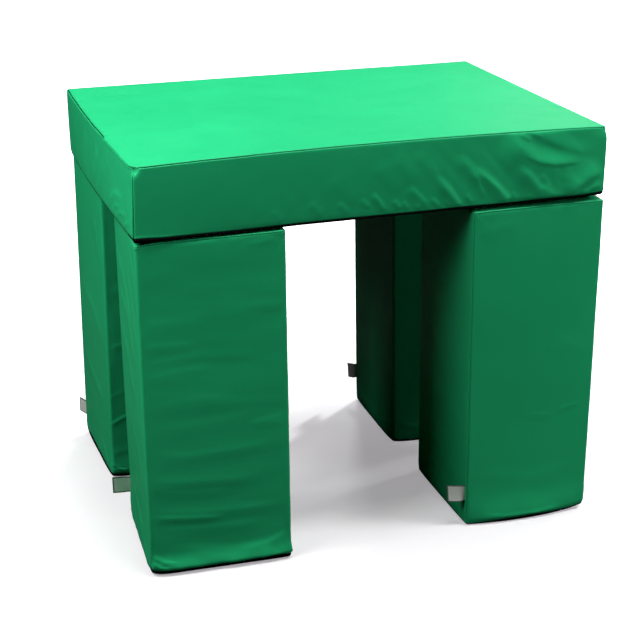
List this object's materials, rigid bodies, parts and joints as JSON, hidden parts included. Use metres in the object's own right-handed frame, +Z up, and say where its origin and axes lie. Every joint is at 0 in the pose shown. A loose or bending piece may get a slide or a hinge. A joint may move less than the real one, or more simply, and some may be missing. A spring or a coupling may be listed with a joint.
{
  "type": "soft gym table",
  "caption": "Soft gym table: a thick vinyl-covered foam deck that lifts off upright foam block legs, with black anti-slip undersides and zipped covers.",
  "frame": {"origin": "on the floor under the middle of the deck", "axes": "+Z up, +X along the deck's long side, +Y to the back"},
  "size_m": [1.0288, 0.8081, 0.8733],
  "materials": {
    "green_vinyl": "satin",
    "black_anti_slip": "matte",
    "foam": "matte",
    "loop_tape": "matte",
    "hook_tape": "matte",
    "zip_tape": "matte",
    "zip_teeth": "satin",
    "zip_metal": "satin",
    "label_ribbon": "matte"
  },
  "bodies": {
    "front_left_leg": {"front_left_leg_foam_core": "foam", "front_left_leg_side_wrap": "green_vinyl", "front_left_leg_top_panel": "green_vinyl", "front_left_leg_base_panel": "black_anti_slip", "front_left_leg_loop_pad": "loop_tape", "front_left_leg_zip_tapes": "zip_tape", "front_left_leg_zip_coil": "zip_teeth", "front_left_leg_label": "label_ribbon"},
    "back_left_leg": {"back_left_leg_foam_core": "foam", "back_left_leg_side_wrap": "green_vinyl", "back_left_leg_top_panel": "green_vinyl", "back_left_leg_base_panel": "black_anti_slip", "back_left_leg_loop_pad": "loop_tape", "back_left_leg_zip_tapes": "zip_tape", "back_left_leg_zip_coil": "zip_teeth", "back_left_leg_label": "label_ribbon"},
    "front_right_leg": {"front_right_leg_foam_core": "foam", "front_right_leg_side_wrap": "green_vinyl", "front_right_leg_top_panel": "green_vinyl", "front_right_leg_base_panel": "black_anti_slip", "front_right_leg_loop_pad": "loop_tape", "front_right_leg_zip_tapes": "zip_tape", "front_right_leg_zip_coil": "zip_teeth", "front_right_leg_label": "label_ribbon"},
    "back_right_leg": {"back_right_leg_foam_core": "foam", "back_right_leg_side_wrap": "green_vinyl", "back_right_leg_top_panel": "green_vinyl", "back_right_leg_base_panel": "black_anti_slip", "back_right_leg_loop_pad": "loop_tape", "back_right_leg_zip_tapes": "zip_tape", "back_right_leg_zip_coil": "zip_teeth", "back_right_leg_label": "label_ribbon"},
    "deck": {"deck_foam_core": "foam", "deck_top_panel": "green_vinyl", "deck_front_band": "green_vinyl", "deck_back_band": "green_vinyl", "deck_left_band": "green_vinyl", "deck_right_band": "green_vinyl", "deck_base_panel": "black_anti_slip", "deck_hook_pad_front_left": "hook_tape", "deck_hook_pad_back_left": "hook_tape", "deck_hook_pad_front_right": "hook_tape", "deck_hook_pad_back_right": "hook_tape", "deck_zip_tapes": "zip_tape", "deck_zip_coil": "zip_teeth"},
    "front_left_leg_slider": {"front_left_leg_zip_slider": "zip_metal"},
    "front_left_leg_pull": {"front_left_leg_zip_pull": "zip_metal"},
    "back_left_leg_slider": {"back_left_leg_zip_slider": "zip_metal"},
    "back_left_leg_pull": {"back_left_leg_zip_pull": "zip_metal"},
    "front_right_leg_slider": {"front_right_leg_zip_slider": "zip_metal"},
    "front_right_leg_pull": {"front_right_leg_zip_pull": "zip_metal"},
    "back_right_leg_slider": {"back_right_leg_zip_slider": "zip_metal"},
    "back_right_leg_pull": {"back_right_leg_zip_pull": "zip_metal"},
    "deck_slider": {"deck_zip_slider": "zip_metal"},
    "deck_pull": {"deck_zip_pull": "zip_metal"}
  },
  "joints": [
    {"name": "deck_lift", "type": "slide", "parent": "front_left_leg", "child": "deck", "axis": [0, 0, 1], "range_m": [0, 0.3]},
    {"name": "front_right_leg_move", "type": "slide", "parent": "front_left_leg", "child": "front_right_leg", "axis": [1, 0, 0], "range_m": [0, 0.2]},
    {"name": "back_left_leg_move", "type": "slide", "parent": "front_left_leg", "child": "back_left_leg", "axis": [0, 1, 0], "range_m": [0, 0.2]},
    {"name": "back_right_leg_move", "type": "slide", "parent": "front_left_leg", "child": "back_right_leg", "axis": [0.7071, 0.7071, 0], "range_m": [0, 0.28]},
    {"name": "front_left_leg_zip", "type": "slide", "parent": "front_left_leg", "child": "front_left_leg_slider", "axis": [0.0366, 0.9993, 0], "range_m": [0, 0.21]},
    {"name": "front_left_leg_pull_flip", "type": "hinge", "parent": "front_left_leg_slider", "child": "front_left_leg_pull", "pos_m": [-0.19665, -0.34299, 0.028], "axis": [0, 0, 1], "range_deg": [0, 170]},
    {"name": "back_left_leg_zip", "type": "slide", "parent": "back_left_leg", "child": "back_left_leg_slider", "axis": [-0.0279, 0.9996, 0], "range_m": [0, 0.21]},
    {"name": "back_left_leg_pull_flip", "type": "hinge", "parent": "back_left_leg_slider", "child": "back_left_leg_pull", "pos_m": [-0.19283, 0.14078, 0.028], "axis": [0, 0, 1], "range_deg": [0, 170]},
    {"name": "front_right_leg_zip", "type": "slide", "parent": "front_right_leg", "child": "front_right_leg_slider", "axis": [-1, 0.0035, 0], "range_m": [0, 0.21]},
    {"name": "front_right_leg_pull_flip", "type": "hinge", "parent": "front_right_leg_slider", "child": "front_right_leg_pull", "pos_m": [0.45503, -0.07807, 0.028], "axis": [0, 0, 1], "range_deg": [0, 170]},
    {"name": "back_right_leg_zip", "type": "slide", "parent": "back_right_leg", "child": "back_right_leg_slider", "axis": [0.0209, 0.9998, 0], "range_m": [0, 0.21]},
    {"name": "back_right_leg_pull_flip", "type": "hinge", "parent": "back_right_leg_slider", "child": "back_right_leg_pull", "pos_m": [0.50207, 0.10934, 0.028], "axis": [0, 0, 1], "range_deg": [0, 170]},
    {"name": "deck_zip", "type": "slide", "parent": "deck", "child": "deck_slider", "axis": [-1, 0, 0], "range_m": [0, 0.854]},
    {"name": "deck_pull_flip", "type": "hinge", "parent": "deck_slider", "child": "deck_pull", "pos_m": [0.427, 0.3793, 0.7513], "axis": [0, 0, 1], "range_deg": [0, 170]}
  ]
}
